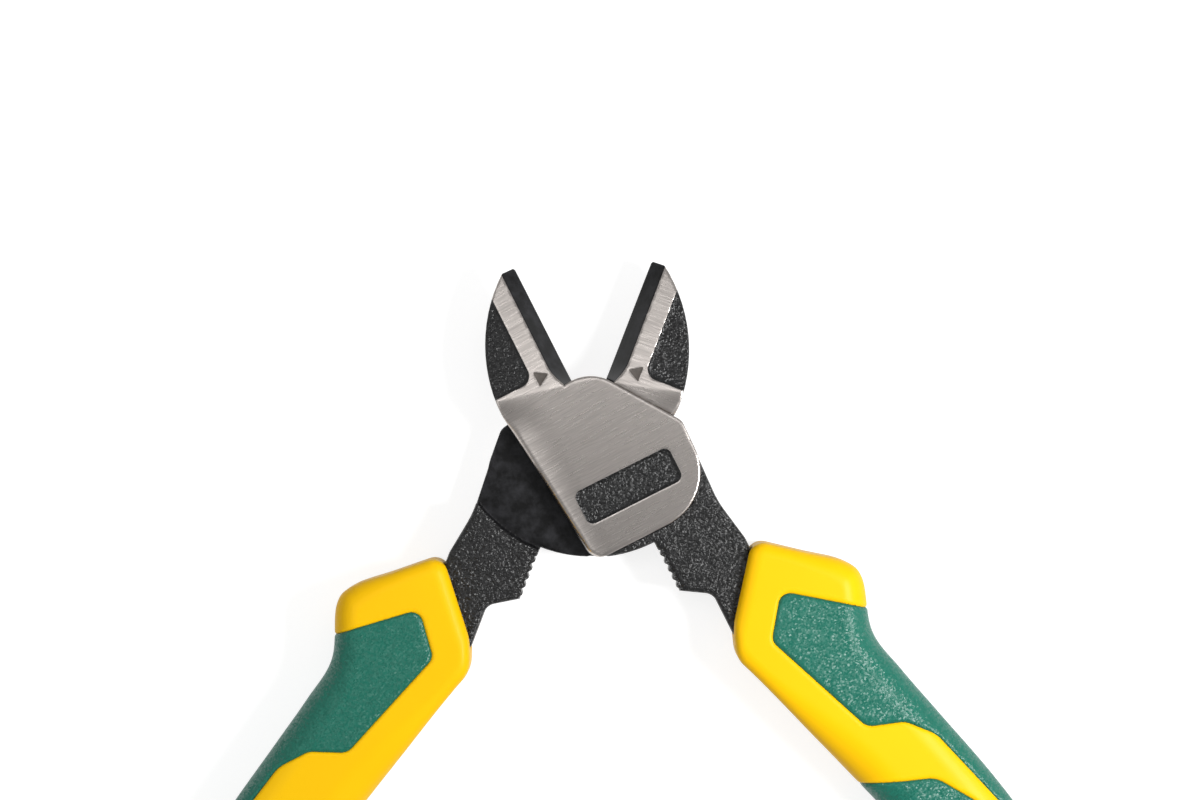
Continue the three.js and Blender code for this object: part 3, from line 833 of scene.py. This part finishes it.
def bevel_border(x, y):
    """Positive on the bevel beside the cutting edge, zero where it meets the face."""
    slope = bevel_reach(y) / face_height(-BEVEL_WIDTH, y)
    return np.minimum(x - EDGE_X + face_height(x, y) * slope, past_hub(x, y))


# Lines on which one finish of a lever gives way to another
FINISH_BORDERS = (
    lambda x, y, z: outline_distance(PLATE, x, y) - PLATE_MARGIN,
    lambda x, y, z: face_height(x, y) - np.abs(z) - GROUND_DEPTH,
    lambda x, y, z: step_distance(x, y) - WALL_WIDTH,
    lambda x, y, z: panel_distance(x, y) - WALL_WIDTH,
    lambda x, y, z: mark_distance(x, y) - WALL_WIDTH / 2,
    lambda x, y, z: bevel_border(x, y),
)
GROUND, BLASTED, OXIDE, ETCHED = range(4)


def lever_zones(x, y, z):
    """Which finish each place on a lever has."""
    plate, below, step, panel, mark, bevel = (border(x, y, z) for border in FINISH_BORDERS)
    ground = (plate < 0) & (below < 0) & (step > 0) & (panel > 0) & (mark > 0)
    oxide = (bevel > 0) | ((lap_distance(x, y, z) < LAP_TOUCH) & (below > 0))
    etched = (mark < 0) & (below < 0)
    return np.select((oxide, etched, ground), (OXIDE, ETCHED, GROUND), BLASTED)


def make_lever(body, sizes, materials):
    teeth_end = TEETH_START + sizes.tooth_count * sizes.tooth_pitch / MM
    outline = lever_outline(teeth_end)
    step = sizes.mesh_step / MM
    low = np.array((-JAW_WIDTH, TANG[:, 1].min(), -HALF)) - STEPS_BELOW * step
    high = np.array((TANG[:, 0].max(), JAW_REACH, HALF)) + STEPS_ABOVE * step
    points, quads = surface_net(
        lambda x, y, z: lever_distance(x, y, z, outline, sizes, body == "back"), low, high, step)
    triangles = triangles_of(quads)
    for border in FINISH_BORDERS:
        points, triangles = split_along(points, triangles, border(*points.T))
    zones = lever_zones(*points[triangles].mean(axis=1).T)
    piece = make_piece(
        f"{body}_lever_forging", body, points, triangles, materials, zones)
    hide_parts(f"{body}_lever")


def border_edges(triangles):
    """Edges, in the order of their triangle, that no other triangle of the set shares."""
    edges = np.concatenate((triangles[:, [0, 1]], triangles[:, [1, 2]], triangles[:, [2, 0]]))
    size = triangles.max() + 1
    return edges[~np.isin(edges[:, 0] * size + edges[:, 1], edges[:, 1] * size + edges[:, 0])]


def walls_below(edges, offset):
    """Wall from each edge down to the same edge of the sunk points, which come an offset later."""
    first, last = edges.T
    return np.concatenate((
        np.column_stack((last, first, first + offset)),
        np.column_stack((last, first + offset, last + offset)),
    ))


def make_grip(sizes, levers, materials):
    """The sleeve and the two pads of a grip, cut from one moulded skin, for both levers."""
    step = sizes.mesh_step / MM
    arm = lever_outline(TEETH_START + SHORT_NOTCH)
    low = np.array((*GRIP[1:].min(axis=0), -GRIP_HALF)) - STEPS_BELOW * step
    high = np.array((GRIP[:, 0].max(), GRIP_OUTER_SIDE[0][1], GRIP_HALF)) + STEPS_ABOVE * step
    points, quads = surface_net(
        lambda x, y, z: np.maximum(
            grip_distance(x, y, z, sizes), -arm_pocket_distance(x, y, z, arm, levers)),
        low, high, step)
    triangles = triangles_of(quads)
    pads = {"upper_pad": rounded(UPPER_PAD), "lower_pad": rounded(LOWER_PAD)}
    for outline in pads.values():
        points, triangles = split_along(points, triangles, outline_distance(outline, *points.T[:2]))
    normals = point_normals(points, triangles)
    middles = points[triangles].mean(axis=1)
    to_pads = [np.abs(outline_distance(outline, *points.T[:2])) for outline in pads.values()]
    nearest = np.min(to_pads, axis=0)
    sunk = np.clip(1 - nearest * MM / sizes.groove_width, 0, 1) ** 2 * sizes.groove_depth / MM
    points = points - normals * sunk[:, None]
    offset = len(points)
    depth = sizes.pad_depth / MM
    covered = np.zeros(len(triangles), dtype=bool)
    pieces = {}
    for name, outline in pads.items():
        over = outline_distance(outline, *middles.T[:2]) < 0
        covered |= over
        top = triangles[over]
        both = np.concatenate((points, points - depth * normals))
        faces = np.concatenate((top, top[:, ::-1] + offset, walls_below(border_edges(top), offset)))
        pieces[name] = ("pad_rubber", materials["rubber"], *used_only(both, faces))
    left = triangles[~covered]
    both = np.concatenate((points, points - (depth + PAD_CLEARANCE) * normals))
    walls = walls_below(border_edges(left), offset)
    faces = np.concatenate((left, triangles[covered] + offset, walls))
    pieces["sleeve"] = ("grip_plastic", materials["plastic"], *used_only(both, faces))
    for body in ("front", "back"):
        for name, (slot, material, places, faces) in pieces.items():
            piece = make_piece(f"{body}_moulded_{name}", body, places, faces, [material])
            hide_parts(f"{body}_grip_{name}")


def tooth_rings():
    """One tooth in the drawing: its flanks at four heights, chamfered at both faces of the arm."""
    root = INNER_X + TOOTH_DEPTH
    buried = root + TOOTH_BURIED
    upper = ((ARM_HALF - TOOTH_CHAMFER_FOOT, 0), (ARM_HALF - TOOTH_END_GAP, TOOTH_CHAMFER))
    lower = tuple((-height, crest) for height, crest in reversed(upper))
    rings = []
    for height, crest in lower + upper:
        tip = INNER_X + crest
        flank = TOOTH_LAND / 2 + (TOOTH_REACH - TOOTH_LAND / 2) * crest / TOOTH_DEPTH
        plan = (
            (buried, -TOOTH_REACH), (buried, TOOTH_REACH), (root, TOOTH_REACH), (tip, flank),
            (tip, -flank), (root, -TOOTH_REACH),
        )
        rings.append([(x, y, height) for x, y in plan])
    return np.array(rings)


def closed_rings(rings):
    """Points and faces of a skin over rings of equal length, closed by a face at each end."""
    levels, count = rings.shape[:2]
    faces = []
    for level in range(levels - 1):
        for side in range(count):
            here = level * count + side
            next_side = level * count + (side + 1) % count
            faces.append((here, next_side, next_side + count, here + count))
    faces.append(tuple(range(count))[::-1])
    faces.append(tuple(range((levels - 1) * count, levels * count)))
    return rings.reshape(-1, 3), faces


def tooth_row_tree():
    """Geometry Nodes: the tooth it is given, repeated down the arm at an even pitch."""
    tree = bpy.data.node_groups.new("tooth_row", "GeometryNodeTree")
    kinds = {"Tooth": "Geometry", "Teeth": "Int", "Pitch": "Float", "Finish": "Material"}
    sockets = {}
    for name, kind in kinds.items():
        sockets[name] = tree.interface.new_socket(
            name, in_out="INPUT", socket_type=f"NodeSocket{kind}").identifier
    tree.interface.new_socket("Row", in_out="OUTPUT", socket_type="NodeSocketGeometry")
    given = add_node(tree, "NodeGroupInput")
    back = add_node(tree, "ShaderNodeMath", {"operation": "MULTIPLY"}, {
        0: given.outputs["Pitch"], 1: -1.0})
    offset = add_node(tree, "ShaderNodeCombineXYZ", None, {"Y": back.outputs[0]})
    line = add_node(tree, "GeometryNodeMeshLine", None, {
        "Count": given.outputs["Teeth"], "Offset": offset.outputs[0]})
    row = add_node(tree, "GeometryNodeInstanceOnPoints", None, {
        "Points": line.outputs[0], "Instance": given.outputs["Tooth"]})
    whole = add_node(tree, "GeometryNodeRealizeInstances", None, {"Geometry": row.outputs[0]})
    finished = add_node(tree, "GeometryNodeSetMaterial", None, {
        "Geometry": whole.outputs[0], "Material": given.outputs["Finish"]})
    add_node(tree, "NodeGroupOutput", None, {"Row": finished.outputs[0]})
    return tree, sockets


def tooth_row(sizes, material):
    """Points in the drawing and faces of a whole row of teeth."""
    points, faces = closed_rings(tooth_rings())
    tooth = bpy.data.meshes.new("tooth")
    tooth.from_pydata(points * MM, [], faces)
    carrier = bpy.data.objects.new("tooth_row", tooth)
    bpy.context.scene.collection.objects.link(carrier)
    tree, sockets = tooth_row_tree()
    modifier = carrier.modifiers.new("Row", "NODES")
    modifier.node_group = tree
    modifier[sockets["Teeth"]] = sizes.tooth_count
    modifier[sockets["Pitch"]] = sizes.tooth_pitch
    modifier[sockets["Finish"]] = material
    bpy.context.view_layer.update()
    depsgraph = bpy.context.evaluated_depsgraph_get()
    row = bpy.data.meshes.new_from_object(carrier.evaluated_get(depsgraph))
    places = np.empty(3 * len(row.vertices))
    row.vertices.foreach_get("co", places)
    places = places.reshape(-1, 3) / MM - (0, TEETH_START + sizes.tooth_pitch / MM / 2, 0)
    polygons = [tuple(polygon.vertices) for polygon in row.polygons]
    bpy.data.objects.remove(carrier)
    return places, polygons


def make_pin(material):
    angles = np.linspace(0, 2 * math.pi, PIN_SIDES, endpoint=False)
    around = np.column_stack((np.cos(angles), np.sin(angles)))
    rings = [np.column_stack((max(radius, PIN_CENTRE) * around, np.full(PIN_SIDES, height)))
             for radius, height in pin_profile()]
    points, faces = closed_rings(np.array(rings))
    mesh = bpy.data.meshes.new("turned_pivot_pin")
    mesh.from_pydata((points + (0, 0, HALF)) * MM, [], faces)
    mesh.materials.append(material)
    pin = bpy.data.objects.new("turned_pivot_pin", mesh)
    bpy.context.scene.collection.objects.link(pin)
    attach(pin, "back")
    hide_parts("pivot_pin")


def make_camera(stage):
    data = bpy.data.cameras.new("camera")
    data.sensor_width = 36
    data.lens = data.sensor_width * stage.camera_distance / stage.view_width
    camera = bpy.data.objects.new("camera", data)
    camera.location = (*VIEW_CENTRE, 2 * HALF * MM + stage.camera_distance)
    camera.rotation_euler = (0, 0, stage.view_turn)
    bpy.context.scene.collection.objects.link(camera)
    bpy.context.scene.camera = camera


def make_lamp(name, power):
    place, width, length = LAMPS[name]
    data = bpy.data.lights.new(name, "AREA")
    data.energy = power
    data.shape = "RECTANGLE"
    data.size = width
    data.size_y = length
    lamp = bpy.data.objects.new(name, data)
    lamp.location = place
    lamp.rotation_euler = Vector(place).to_track_quat("Z", "Y").to_euler()
    bpy.context.scene.collection.objects.link(lamp)


def seen_directly(tree):
    """One for rays that show the background: from the camera, a reflection or through glass."""
    path = add_node(tree, "ShaderNodeLightPath")
    shown = path.outputs["Is Camera Ray"]
    for kind in ("Is Glossy Ray", "Is Transmission Ray"):
        either = add_node(tree, "ShaderNodeMath", {"operation": "MAXIMUM"}, {
            0: shown, 1: path.outputs[kind]})
        shown = either.outputs[0]
    return shown


def make_floor():
    # Matt white paper: it keeps the tool's soft shadow, and shows white to the camera
    material = bpy.data.materials.new("white_paper")
    material.use_nodes = True
    tree = material.node_tree
    tree.nodes.clear()
    matt = add_node(tree, "ShaderNodeBsdfDiffuse", None, {"Color": linear("#AFAFAF")})
    strength = add_node(tree, "ShaderNodeMath", {"operation": "MULTIPLY"}, {
        0: seen_directly(tree), 1: FLOOR_GLOW})
    glow = add_node(tree, "ShaderNodeEmission", None, {"Strength": strength.outputs[0]})
    both = add_node(tree, "ShaderNodeAddShader", None, {0: matt.outputs[0], 1: glow.outputs[0]})
    add_node(tree, "ShaderNodeOutputMaterial", None, {"Surface": both.outputs[0]})
    mesh = bpy.data.meshes.new("floor")
    corners = ((-1, -1), (1, -1), (1, 1), (-1, 1))
    level = CAD_BOX[0][2] - FLOOR_GAP
    places = [(FLOOR_REACH * x, FLOOR_REACH * y, level) for x, y in corners]
    mesh.from_pydata(places, [], [(0, 1, 2, 3)])
    mesh.materials.append(material)
    floor = bpy.data.objects.new("floor", mesh)
    bpy.context.scene.collection.objects.link(floor)


def make_world(stage):
    """A white studio: dimmer straight overhead, where the camera stands, than all round."""
    world = bpy.data.worlds.new("studio")
    bpy.context.scene.world = world
    world.use_nodes = True
    tree = world.node_tree
    direction = add_node(tree, "ShaderNodeTexCoord").outputs["Generated"]
    parts = add_node(tree, "ShaderNodeSeparateXYZ", None, {"Vector": direction})
    level = add_node(tree, "ShaderNodeMapRange", None, {
        "Value": parts.outputs["Z"], "From Min": OVERHEAD_START, "From Max": 1.0,
        "To Min": stage.sky, "To Max": OVERHEAD_SHARE * stage.sky})
    shown = add_node(tree, "ShaderNodeLightPath").outputs["Is Camera Ray"]
    strength = add_node(tree, "ShaderNodeMix", None, {0: shown, 2: level.outputs[0], 3: 1.0})
    tree.links.new(strength.outputs[0], tree.nodes["Background"].inputs["Strength"])
    tree.nodes["Background"].inputs["Color"].default_value = (1, 1, 1, 1)


# Operators and panel


class CuttersOperator:
    bl_options = {"REGISTER", "UNDO"}


class OBJECT_OT_cutter_levers(CuttersOperator, bpy.types.Operator):
    """Forge, grind and blacken the two levers"""
    bl_idname = "object.cutter_levers"
    bl_label = "Levers"

    def execute(self, context):
        finishes = context.scene.cutter_finishes
        others = [blasted_black_steel(finishes), oxide_black_steel(finishes), etched_steel(finishes)]
        for body, angle in (("front", OPENING / 2), ("back", -OPENING / 2)):
            ground = brushed_steel(f"brushed_steel_{body}", angle, finishes)
            make_lever(body, context.scene.cutter_levers, [ground, *others])
        return {"FINISHED"}


class OBJECT_OT_cutter_teeth(CuttersOperator, bpy.types.Operator):
    """Set the rows of pipe-gripping teeth into the arms"""
    bl_idname = "object.cutter_teeth"
    bl_label = "Pipe-gripping teeth"

    def execute(self, context):
        material = bpy.data.materials["blasted_black_steel"]
        points, faces = tooth_row(context.scene.cutter_levers, material)
        for body in ("front", "back"):
            piece = make_piece(
                f"{body}_pipe_grip_teeth", body, points, faces, [material])
            piece.data.shade_flat()
        return {"FINISHED"}


class OBJECT_OT_cutter_grips(CuttersOperator, bpy.types.Operator):
    """Mould the two sleeves and their soft pads"""
    bl_idname = "object.cutter_grips"
    bl_label = "Grips"

    def execute(self, context):
        scene = context.scene
        finishes = scene.cutter_finishes
        materials = {
            "plastic": moulded_yellow_plastic(finishes), "rubber": grained_green_rubber(finishes)}
        make_grip(scene.cutter_grips, scene.cutter_levers, materials)
        return {"FINISHED"}


class OBJECT_OT_cutter_pin(CuttersOperator, bpy.types.Operator):
    """Turn the pivot pin"""
    bl_idname = "object.cutter_pin"
    bl_label = "Pivot pin"

    def execute(self, context):
        make_pin(turned_pin_steel(context.scene.cutter_finishes))
        return {"FINISHED"}


class OBJECT_OT_cutter_stage(CuttersOperator, bpy.types.Operator):
    """Set up the floor, the light and the camera"""
    bl_idname = "object.cutter_stage"
    bl_label = "Stage"

    def execute(self, context):
        stage = context.scene.cutter_stage
        make_camera(stage)
        make_floor()
        make_world(stage)
        for name in LAMPS:
            make_lamp(name, getattr(stage, f"{name}_power"))
        context.scene.view_settings.view_transform = "Standard"
        return {"FINISHED"}


class VIEW3D_PT_cutters(bpy.types.Panel):
    bl_label = "Side cutters"
    bl_space_type = "VIEW_3D"
    bl_region_type = "UI"
    bl_category = "Side cutters"

    def draw(self, context):
        for held in GROUPS:
            group = getattr(context.scene, held)
            box = self.layout.box()
            for name in group.bl_rna.properties.keys():
                if name not in ("rna_type", "name"):
                    box.prop(group, name)
        for operator in OPERATORS:
            self.layout.operator(operator.bl_idname)


OPERATORS = (
    OBJECT_OT_cutter_stage, OBJECT_OT_cutter_levers, OBJECT_OT_cutter_teeth, OBJECT_OT_cutter_grips,
    OBJECT_OT_cutter_pin,
)
GROUPS = {
    "cutter_levers": LeverSizes, "cutter_grips": GripSizes, "cutter_finishes": Finishes,
    "cutter_stage": StageSettings,
}


def register():
    for item in (*GROUPS.values(), *OPERATORS, VIEW3D_PT_cutters):
        bpy.utils.register_class(item)
    for name, group in GROUPS.items():
        setattr(bpy.types.Scene, name, PointerProperty(type=group))


def unregister():
    for name in GROUPS:
        delattr(bpy.types.Scene, name)
    for item in (VIEW3D_PT_cutters, *OPERATORS, *reversed(GROUPS.values())):
        bpy.utils.unregister_class(item)


def main():
    register()
    bpy.ops.object.cutter_stage()
    bpy.ops.object.cutter_levers()
    bpy.ops.object.cutter_teeth()
    bpy.ops.object.cutter_grips()
    bpy.ops.object.cutter_pin()


if __name__ == "__main__":
    main()
